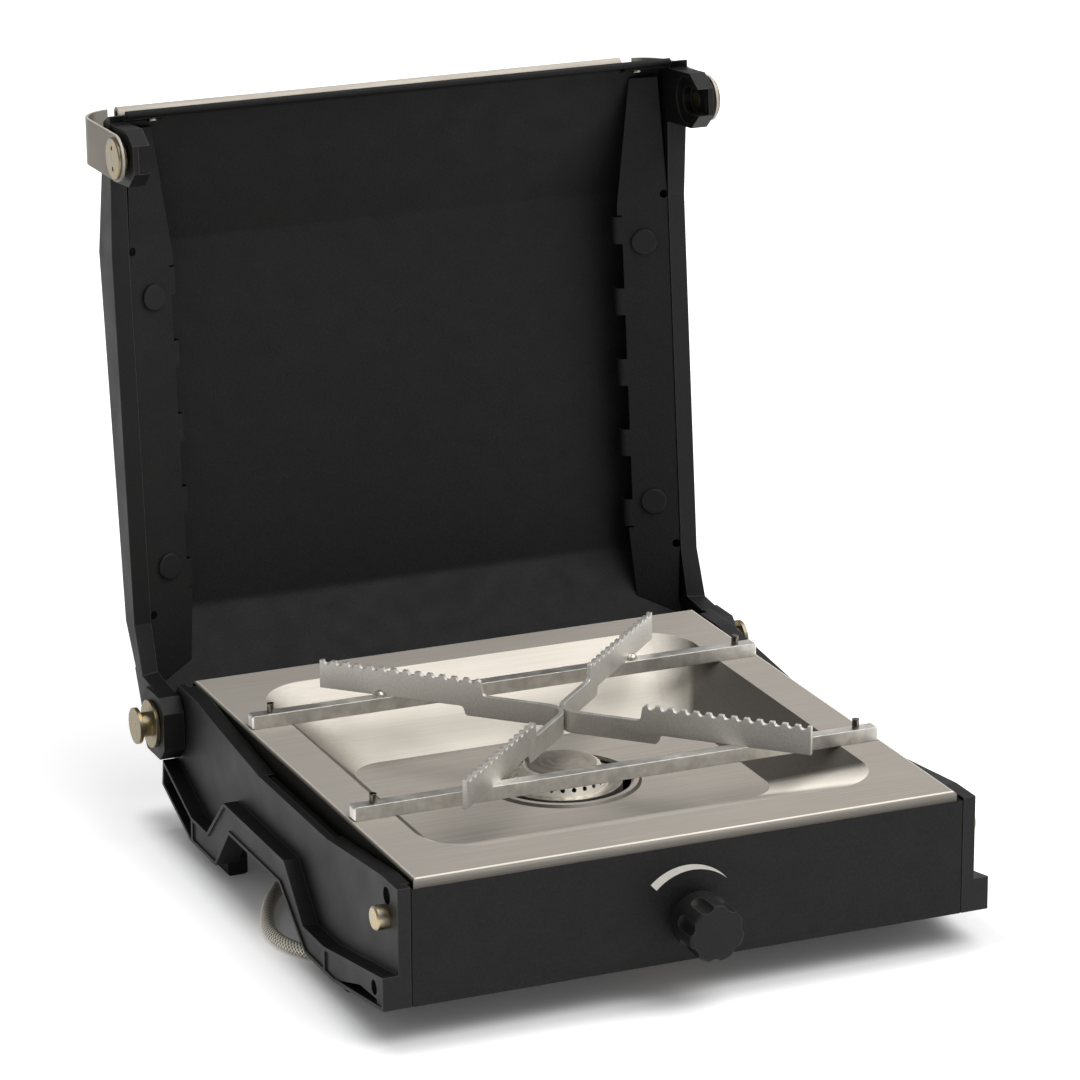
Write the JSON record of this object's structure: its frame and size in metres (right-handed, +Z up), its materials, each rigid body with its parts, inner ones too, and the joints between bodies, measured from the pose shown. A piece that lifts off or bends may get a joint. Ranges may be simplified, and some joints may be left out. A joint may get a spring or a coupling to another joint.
{
  "type": "single burner gas stove",
  "caption": "Single burner gas stove with a fold-back sheet lid, latching carry bail, toothed pan support, drip tray, control knob and braided gas hose.",
  "frame": {"origin": "on the ground under the middle of the open stove's bounding box, hose left out", "axes": "+X to the right, +Y from the knob to the hinge, +Z up; the lid is open at rest"},
  "size_m": [0.346, 0.4348, 0.3705],
  "materials": {
    "powder_coated_steel": "fine-textured matt black powder coat",
    "moulded_plastic": "grained black moulding",
    "foot_rubber": "matt black rubber",
    "brushed_stainless": "brushed",
    "zinc_plated_steel": "zinc plated",
    "yellow_zinc_steel": "yellow zinc plated, turned",
    "latch_nylon": "black glass-filled nylon",
    "gas_brass": "machined",
    "ferrule_steel": "nickel plated",
    "braided_hose": "rubber under stainless wire braid"
  },
  "bodies": {
    "base": {"front_panel": "powder_coated_steel", "rear_panel": "powder_coated_steel", "base_pan": "powder_coated_steel", "right_end_frame": "moulded_plastic", "left_end_frame": "moulded_plastic", "front_right_foot": "foot_rubber", "front_left_foot": "foot_rubber", "rear_right_foot": "foot_rubber", "rear_left_foot": "foot_rubber", "drip_tray": "brushed_stainless", "front_bar": "brushed_stainless", "rear_bar": "brushed_stainless", "right_strip": "brushed_stainless", "left_strip": "brushed_stainless", "support_pins": "brushed_stainless", "weld_beads": "brushed_stainless", "burner_cap": "brushed_stainless", "flame_ring": "brushed_stainless", "burner_bracket": "zinc_plated_steel", "burner_bowl": "zinc_plated_steel", "mixer_tube": "zinc_plated_steel", "frame_screws": "zinc_plated_steel", "right_hinge_pin": "yellow_zinc_steel", "left_hinge_pin": "yellow_zinc_steel", "right_latch_stud": "yellow_zinc_steel", "left_latch_stud": "yellow_zinc_steel", "gas_jet": "gas_brass", "valve_body": "gas_brass", "valve_nut": "gas_brass", "gas_inlet_elbow": "gas_brass", "hose_end_nut": "gas_brass", "hose_inlet_ferrule": "ferrule_steel", "hose_end_ferrule": "ferrule_steel", "gas_hose": "braided_hose"},
    "lid": {"lid_panel": "powder_coated_steel", "right_side_flange": "powder_coated_steel", "left_side_flange": "powder_coated_steel", "right_lid_rail": "moulded_plastic", "left_lid_rail": "moulded_plastic", "push_rivets": "moulded_plastic", "corner_rivets": "brushed_stainless"},
    "bail": {"bail": "brushed_stainless", "right_pivot_rivet": "yellow_zinc_steel", "left_pivot_rivet": "yellow_zinc_steel", "right_latch_cam": "latch_nylon", "left_latch_cam": "latch_nylon"},
    "knob": {"knob": "moulded_plastic", "valve_stem": "zinc_plated_steel"}
  },
  "joints": [
    {"name": "lid_hinge", "type": "hinge", "parent": "base", "child": "lid", "pos_m": [0, 0.12055, 0.059], "axis": [1, 0, 0], "range_deg": [0, 95.4]},
    {"name": "bail_pivot", "type": "hinge", "parent": "lid", "child": "bail", "pos_m": [0, 0.14827, 0.35219], "axis": [1, 0, 0], "range_deg": [0, 86]},
    {"name": "knob_turn", "type": "hinge", "parent": "base", "child": "knob", "pos_m": [0, -0.18945, 0.041], "axis": [0, -1, 0], "range_deg": [0, 270]}
  ]
}
